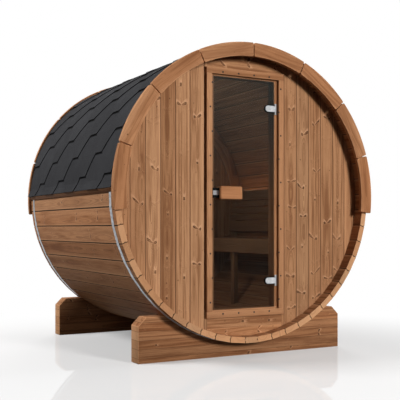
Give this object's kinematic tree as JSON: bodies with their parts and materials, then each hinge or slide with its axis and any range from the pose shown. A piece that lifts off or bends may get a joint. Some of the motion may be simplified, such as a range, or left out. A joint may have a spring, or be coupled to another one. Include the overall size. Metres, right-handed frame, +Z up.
{
  "type": "barrel sauna",
  "caption": "Garden sauna shaped as a lying barrel of timber staves in steel hoops, with a shingled top, plank end walls, a glass door, an inside bench and two cradles.",
  "frame": {"origin": "centre of the footprint at ground level, under the cradles", "axes": "+Z up, barrel axis along Y with the glass door facing -Y, door hinges on the +X side"},
  "size_m": [2.0798, 1.816, 2.1319],
  "materials": {
    "staves": "oiled heat-treated softwood staves",
    "walls": "oiled heat-treated softwood boards",
    "trim": "oiled heat-treated softwood, lighter",
    "frame": "oiled heat-treated softwood",
    "cradle": "glued laminated timber, oiled",
    "hoop": "galvanized strap",
    "shingles": "granulated bitumen shingles, black",
    "battens": "oiled heat-treated softwood, dark",
    "bench": "planed heat-treated softwood",
    "door_glass": "bronze tinted safety glass",
    "hinge_steel": "satin chrome",
    "handle_wood": "oiled softwood"
  },
  "bodies": {
    "sauna": {"staves_bottom": "staves", "staves_lower_left": "staves", "staves_side_left": "staves", "staves_upper_left": "staves", "staves_top_left": "staves", "staves_top_right": "staves", "staves_upper_right": "staves", "staves_side_right": "staves", "staves_lower_right": "staves", "front_wall_left": "walls", "front_wall_right": "walls", "front_wall_over_door": "walls", "front_wall_under_door": "walls", "rear_wall_left": "walls", "rear_wall_right": "walls", "front_trim": "trim", "rear_trim": "trim", "rear_wall_inner_arch": "trim", "door_frame_head": "frame", "door_frame_sill": "frame", "door_frame_left_jamb": "frame", "door_frame_right_jamb": "frame", "front_cradle": "cradle", "rear_cradle": "cradle", "front_hoop": "hoop", "rear_hoop": "hoop", "roof_upper_left": "shingles", "roof_lower_left": "shingles", "roof_upper_right": "shingles", "roof_lower_right": "shingles", "roof_edge_battens": "battens", "bench_apron": "bench", "bench_slats": "bench", "bench_bearers": "bench", "bench_leg": "bench", "backrest_slats": "bench", "backrest_posts": "bench", "hinge_leaves": "hinge_steel"},
    "door": {"door_glass": "door_glass", "hinge_clamps": "hinge_steel", "door_latch_plate": "hinge_steel", "door_outer_handle": "handle_wood", "door_inner_handle": "handle_wood"}
  },
  "joints": [
    {"name": "door_hinge", "type": "hinge", "parent": "sauna", "child": "door", "pos_m": [0.248, -0.795, 1.102], "axis": [0, 0, 1], "range_deg": [0, 110]}
  ]
}
